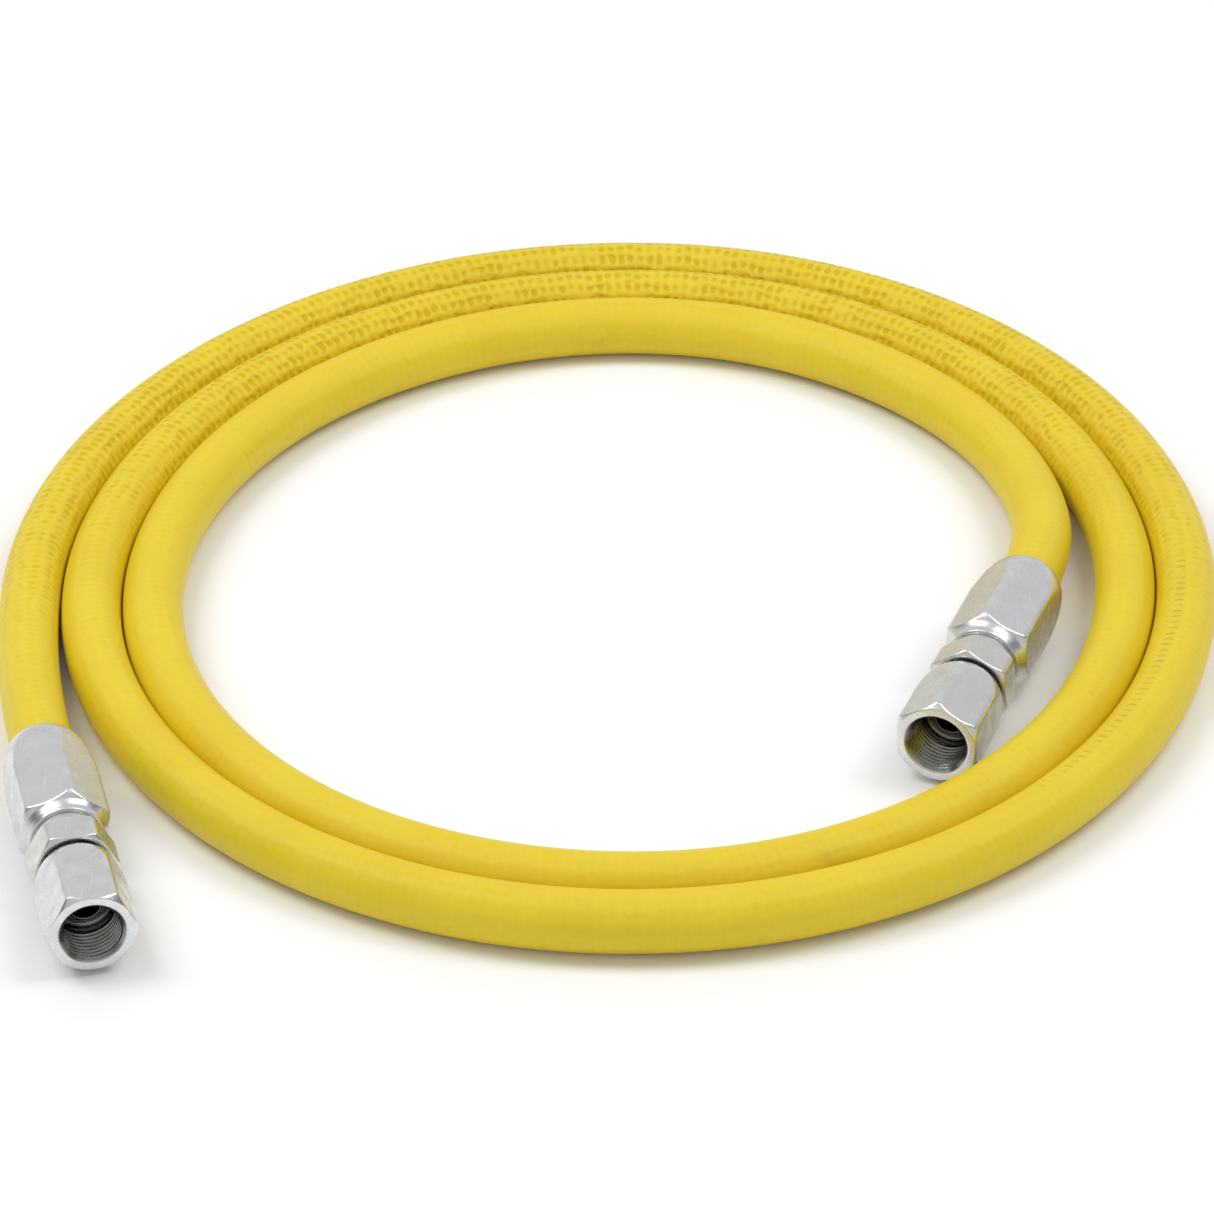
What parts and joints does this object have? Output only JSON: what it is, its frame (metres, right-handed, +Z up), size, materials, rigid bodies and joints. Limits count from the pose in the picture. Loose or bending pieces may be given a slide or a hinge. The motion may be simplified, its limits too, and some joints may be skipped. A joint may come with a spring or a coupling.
{
  "type": "hydraulic hose assembly",
  "caption": "Yellow wire-braided hydraulic hose lying in a flat coil, with a long hexagonal reusable socket and a threaded swivel nut at each end.",
  "frame": {"origin": "centre of the footprint, on the surface that the hose lies on", "axes": "+Z up; +Y across the coil from the fittings' side to the back, the coil's longer way; +X to the right seen from the fittings' side"},
  "size_m": [0.4128, 0.4446, 0.0318],
  "materials": {
    "yellow_cover_rubber": "satin yellow synthetic rubber with a wrapped-cloth texture",
    "braid_wire": "brass-coated high-tensile braid wire",
    "black_liner_rubber": "smooth black oil-resistant rubber",
    "zinc_plated_steel": "bright zinc plating over turned and milled steel",
    "spring_wire": "drawn spring steel"
  },
  "bodies": {
    "hose": {"hose_cover": "yellow_cover_rubber", "wire_braid": "braid_wire", "inner_tube": "black_liner_rubber", "socket_a": "zinc_plated_steel", "nipple_a": "zinc_plated_steel", "retaining_wire_a": "spring_wire", "socket_b": "zinc_plated_steel", "nipple_b": "zinc_plated_steel", "retaining_wire_b": "spring_wire"},
    "nut_a": {"swivel_nut_a": "zinc_plated_steel"},
    "nut_b": {"swivel_nut_b": "zinc_plated_steel"}
  },
  "joints": [
    {"name": "nut_a_spin", "type": "hinge", "parent": "hose", "child": "nut_a", "pos_m": [-0.1642, -0.20274, 0.0159], "axis": [0.2241, -0.9746, 0], "continuous": true},
    {"name": "nut_b_spin", "type": "hinge", "parent": "hose", "child": "nut_b", "pos_m": [0.11163, -0.09736, 0.0159], "axis": [-0.3387, -0.9409, 0], "continuous": true}
  ]
}
